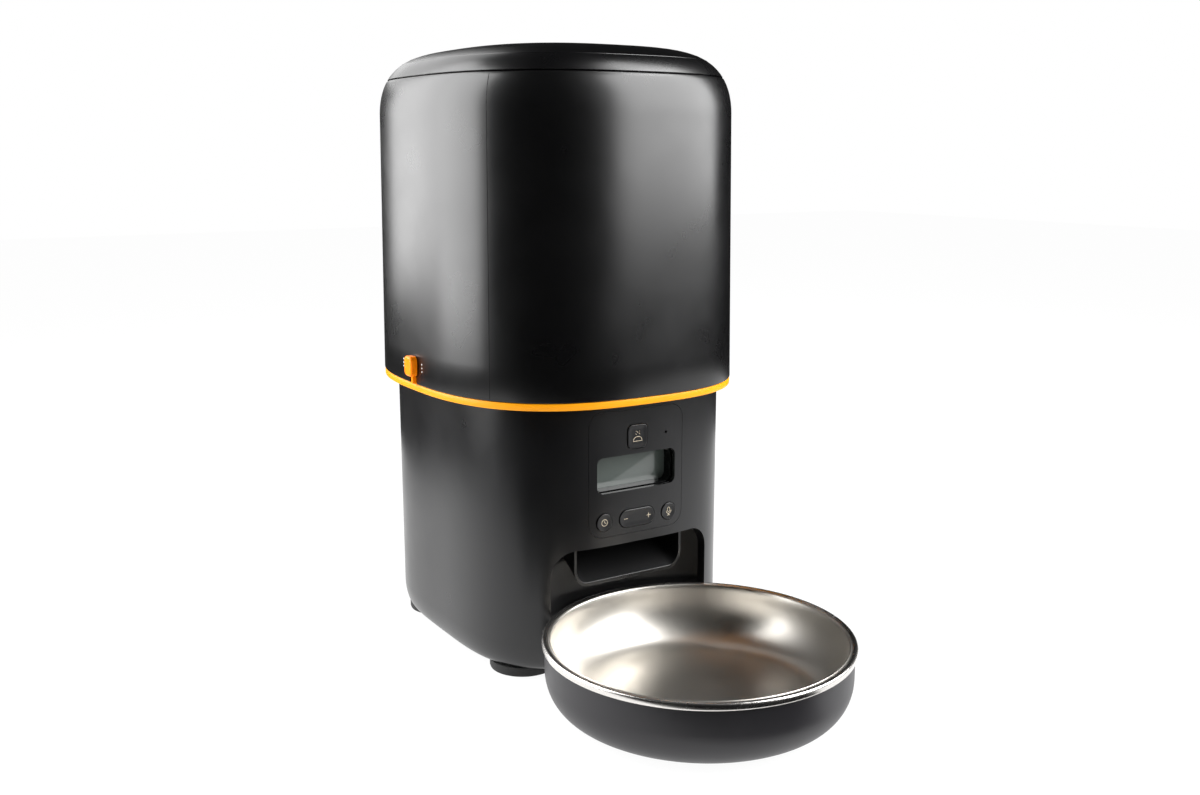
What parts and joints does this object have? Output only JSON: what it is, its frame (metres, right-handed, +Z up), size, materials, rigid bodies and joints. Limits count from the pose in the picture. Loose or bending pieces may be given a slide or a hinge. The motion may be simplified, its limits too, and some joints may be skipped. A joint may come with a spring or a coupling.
{
  "type": "automatic pet feeder",
  "caption": "Free-standing dry-food dispenser: hopper with lift-off lid and side locks on a powered base with display, buttons and outlet chute over a steel bowl in a holder.",
  "frame": {"origin": "middle of the bounding box on the floor that the feet and the bowl holder stand on", "axes": "+Z up, front with the bowl and the display faces -Y, +X to the right seen from the front"},
  "size_m": [0.1986, 0.3458, 0.3533],
  "materials": {
    "satin_black": "fine satin texture",
    "charcoal": "fine satin texture",
    "holder_grey": "satin",
    "amber": "semi-gloss",
    "orange": "semi-gloss",
    "steel": "satin inside, polished rim",
    "zinc": "plain plated metal",
    "glass_grey": "clear window",
    "display": "reflective display, blank",
    "rubber": "matt",
    "silicone": "matt",
    "board_green": "solder mask",
    "cell_wrap": "printed wrap, plain",
    "paper": "non-woven bag",
    "acetal": "natural acetal"
  },
  "bodies": {
    "base": {"base_shell": "charcoal", "base_deck": "charcoal", "trim_ring": "amber", "bottom_cover": "charcoal", "gearbox_case": "charcoal", "food_chute": "charcoal", "control_panel": "charcoal", "battery_tray": "charcoal", "lcd_bezel": "satin_black", "lcd_window": "glass_grey", "lcd_module": "display", "control_board": "board_green", "switch_feed": "zinc", "switch_set": "zinc", "switch_minus": "zinc", "switch_plus": "zinc", "switch_record": "zinc", "microphone": "zinc", "speaker": "zinc", "drive_motor": "zinc", "drive_bushing": "acetal", "contact_left": "zinc", "contact_right": "zinc", "battery_cell_1": "cell_wrap", "battery_cell_2": "cell_wrap", "battery_cell_3": "cell_wrap", "power_jack": "satin_black", "foot_front_left": "rubber", "foot_front_right": "rubber", "foot_rear_left": "rubber", "foot_rear_right": "rubber", "screw_front_left": "zinc", "screw_front_right": "zinc", "screw_rear_left": "zinc", "screw_rear_right": "zinc"},
    "hopper": {"hopper_shell": "satin_black", "hopper_funnel": "satin_black", "hopper_floor": "satin_black", "portion_baffle": "silicone"},
    "lid_group": {"lid": "satin_black", "lid_seal": "silicone", "desiccant_bag": "paper"},
    "desiccant_cover": {"desiccant_cup": "satin_black"},
    "left_latch": {"latch_left": "orange"},
    "right_latch": {"latch_right": "orange"},
    "rotor_group": {"rotor": "acetal", "stirrer": "steel"},
    "drive": {"drive_shaft": "zinc", "output_gear": "acetal"},
    "pinion": {"motor_pinion": "zinc", "motor_shaft": "zinc"},
    "feed_key": {"feed_button": "charcoal"},
    "set_key": {"set_button": "charcoal"},
    "record_key": {"record_button": "charcoal"},
    "rocker_key": {"adjust_rocker": "charcoal"},
    "door": {"battery_door": "charcoal"},
    "holder": {"bowl_holder": "holder_grey"},
    "bowl": {"steel_bowl": "steel"}
  },
  "joints": [
    {"name": "hopper_lift", "type": "slide", "parent": "base", "child": "hopper", "axis": [0, 0, 1], "range_m": [0, 0.06]},
    {"name": "lid_lift", "type": "slide", "parent": "hopper", "child": "lid_group", "axis": [0, 0, 1], "range_m": [0, 0.08]},
    {"name": "desiccant_twist", "type": "hinge", "parent": "lid_group", "child": "desiccant_cover", "pos_m": [0, 0.06557, 0.34], "axis": [0, 0, 1], "range_deg": [0, 30]},
    {"name": "latch_left_slide", "type": "slide", "parent": "hopper", "child": "left_latch", "axis": [0, 1, 0], "range_m": [0, 0.006]},
    {"name": "latch_right_slide", "type": "slide", "parent": "hopper", "child": "right_latch", "axis": [0, 1, 0], "range_m": [0, 0.006]},
    {"name": "drive_spin", "type": "hinge", "parent": "base", "child": "drive", "pos_m": [0, 0.07358, 0.14], "axis": [0, 0, 1], "continuous": true},
    {"name": "pinion_spin", "type": "hinge", "parent": "base", "child": "pinion", "pos_m": [0, 0.09657, 0.14], "axis": [0, 0, 1], "continuous": true},
    {"name": "rotor_spin", "type": "hinge", "parent": "hopper", "child": "rotor_group", "pos_m": [0, 0.07358, 0.175], "axis": [0, 0, 1], "continuous": true},
    {"name": "feed_press", "type": "slide", "parent": "base", "child": "feed_key", "axis": [0, 1, 0], "range_m": [0, 0.0008], "stiffness_N_per_m": 250},
    {"name": "set_press", "type": "slide", "parent": "base", "child": "set_key", "axis": [0, 1, 0], "range_m": [0, 0.0008], "stiffness_N_per_m": 250},
    {"name": "record_press", "type": "slide", "parent": "base", "child": "record_key", "axis": [0, 1, 0], "range_m": [0, 0.0008], "stiffness_N_per_m": 250},
    {"name": "rocker_tilt", "type": "hinge", "parent": "base", "child": "rocker_key", "pos_m": [0, -0.0221, 0.0903], "axis": [0, 0, 1], "range_deg": [-2, 2], "stiffness_Nm_per_rad": 0.03},
    {"name": "door_slide", "type": "slide", "parent": "base", "child": "door", "axis": [0, 1, 0], "range_m": [0, 0.135]},
    {"name": "holder_pull", "type": "slide", "parent": "base", "child": "holder", "axis": [0, -1, 0], "range_m": [0, 0.1]},
    {"name": "bowl_lift", "type": "slide", "parent": "holder", "child": "bowl", "axis": [0, 0, 1], "range_m": [0, 0.011]}
  ],
  "couplings": [
    {"joint": "pinion_spin", "follows": "drive_spin", "ratio": -2.75},
    {"joint": "rotor_spin", "follows": "drive_spin", "ratio": 1}
  ]
}
